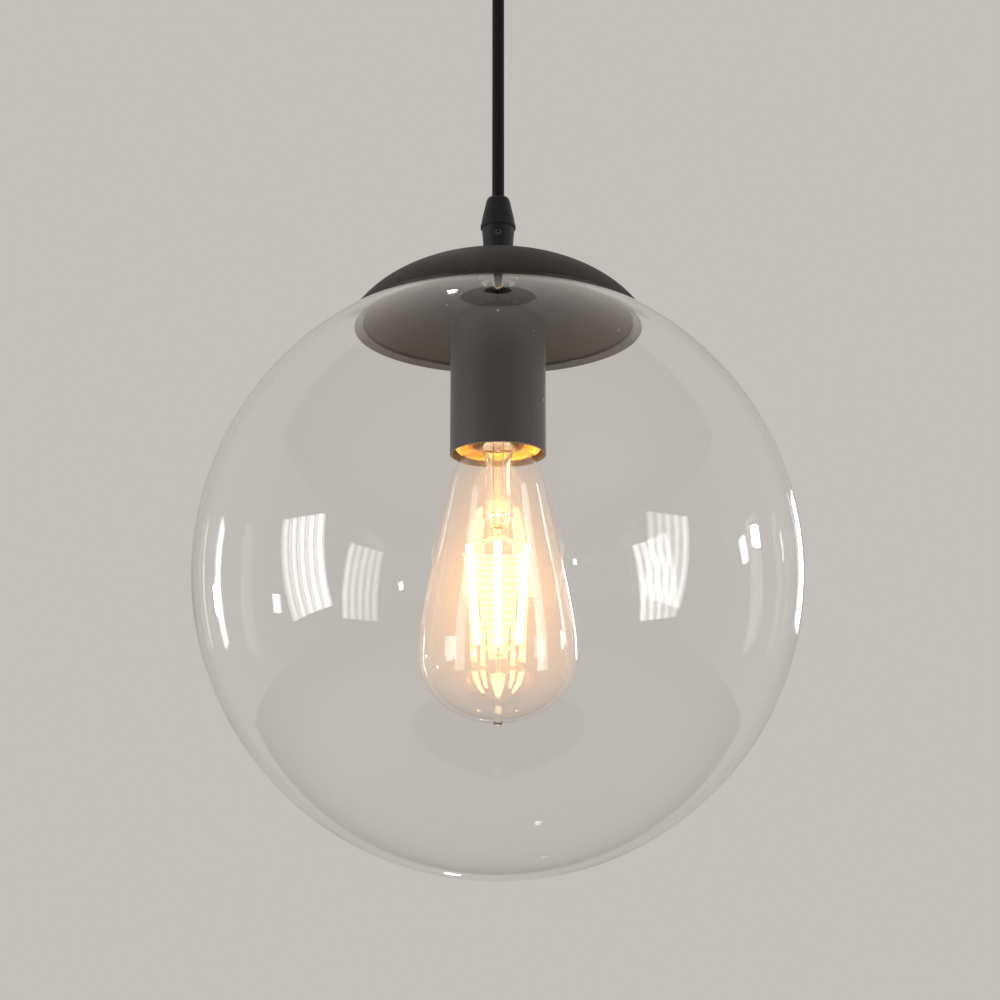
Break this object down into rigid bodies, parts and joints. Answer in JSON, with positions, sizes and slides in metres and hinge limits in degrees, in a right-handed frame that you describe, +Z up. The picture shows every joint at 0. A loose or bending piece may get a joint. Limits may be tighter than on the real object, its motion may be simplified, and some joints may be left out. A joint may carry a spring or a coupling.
{
  "type": "pendant ceiling light",
  "caption": "Pendant light: clear glass globe under a domed metal cap, with a teardrop filament bulb in a dark socket cup, hung on a black cord from a round ceiling canopy.",
  "frame": {"origin": "centre of the ceiling plane, midway between the two slots of the mounting strap", "axes": "+Z up through the middle of the canopy, cord, globe and bulb; +X along the mounting strap"},
  "size_m": [0.25, 0.25, 0.442],
  "materials": {
    "steel_zinc": "zinc-plated steel, satin",
    "canopy_black": "matte dark powder coat",
    "cap_grey": "matte charcoal powder coat",
    "cup_grey": "matte charcoal powder coat",
    "cord_black": "black PVC sheath",
    "black_plastic": "moulded black plastic, satin",
    "clear_glass": "clear blown glass with a faint smoky tint",
    "bulb_clear": "clear thin glass",
    "silicone": "grey silicone",
    "dark_silicone": "black silicone",
    "porcelain": "amber-glazed porcelain",
    "white_plastic": "heat-resistant moulded plastic",
    "brass": "plain brass",
    "spring_steel": "blackened spring steel",
    "nickel_cap": "nickel-plated brass",
    "insulator": "black vitreous insulator",
    "solder": "tinned contact",
    "board": "printed circuit board with parts",
    "filament": "phosphor-coated LED filament, lit warm",
    "wire_brown": "brown PVC insulation",
    "wire_blue": "blue PVC insulation",
    "wire_green": "green and yellow PVC insulation"
  },
  "bodies": {
    "ceiling_fitting": {"ceiling_bracket": "steel_zinc", "canopy_cup": "canopy_black", "canopy_side_screws": "canopy_black", "terminal_block": "white_plastic", "terminal_block_screws": "steel_zinc", "earth_ring_terminal": "brass", "earth_screw": "steel_zinc", "cord_grip_body": "black_plastic", "cord_grip_locknut": "steel_zinc", "cord_grip_clamp_screw": "steel_zinc", "cable_tail": "cord_black", "canopy_live_wire": "wire_brown", "canopy_neutral_wire": "wire_blue", "canopy_earth_wire": "wire_green"},
    "cord_bend_point": {"cord_bend": "cord_black"},
    "hanging_lamp": {"hanging_cord": "cord_black", "gland_nut": "black_plastic", "gland_seal": "silicone", "gland_body": "black_plastic", "gland_grub_screw": "spring_steel", "threaded_nipple": "steel_zinc", "cap_washer": "steel_zinc", "cap_locknut": "steel_zinc", "dome_cap": "cap_grey", "cap_gasket": "dark_silicone", "glass_globe": "clear_glass", "glass_spring_hub": "steel_zinc", "glass_spring_arms": "spring_steel", "glass_spring_sleeves": "silicone", "cup_locknut": "steel_zinc", "socket_cup": "cup_grey", "lampholder_cap": "white_plastic", "lampholder_earth_tag": "brass", "lampholder_locknut": "steel_zinc", "lampholder_body": "porcelain", "lampholder_screw_shell": "brass", "lampholder_centre_contact": "brass", "lampholder_shell_contact": "brass", "lampholder_terminal_screws": "steel_zinc", "holder_live_wire": "wire_brown", "holder_neutral_wire": "wire_blue", "holder_earth_wire": "wire_green"},
    "bulb_travel_body": {"bulb_contact_button": "solder"},
    "bulb": {"bulb_screw_cap": "nickel_cap", "bulb_insulator": "insulator", "bulb_driver_board": "board", "bulb_glass": "bulb_clear", "bulb_stem": "bulb_clear", "bulb_filaments": "filament", "bulb_filament_supports": "steel_zinc", "bulb_lead_wires": "steel_zinc"}
  },
  "joints": [
    {"name": "swing_about_x", "type": "hinge", "parent": "ceiling_fitting", "child": "cord_bend_point", "pos_m": [0, 0, -0.0365], "axis": [1, 0, 0], "range_deg": [-30, 30]},
    {"name": "swing_about_y", "type": "hinge", "parent": "cord_bend_point", "child": "hanging_lamp", "pos_m": [0, 0, -0.0365], "axis": [0, 1, 0], "range_deg": [-30, 30]},
    {"name": "bulb_travel", "type": "slide", "parent": "hanging_lamp", "child": "bulb_travel_body", "axis": [0, 0, -1], "range_m": [0, 0.01815]},
    {"name": "bulb_unscrew", "type": "hinge", "parent": "bulb_travel_body", "child": "bulb", "pos_m": [0, 0, -0.25], "axis": [0, 0, -1], "range_deg": [0, 1800]}
  ],
  "couplings": [
    {"joint": "bulb_travel", "follows": "bulb_unscrew", "m_per_rad": 0.00057773}
  ]
}
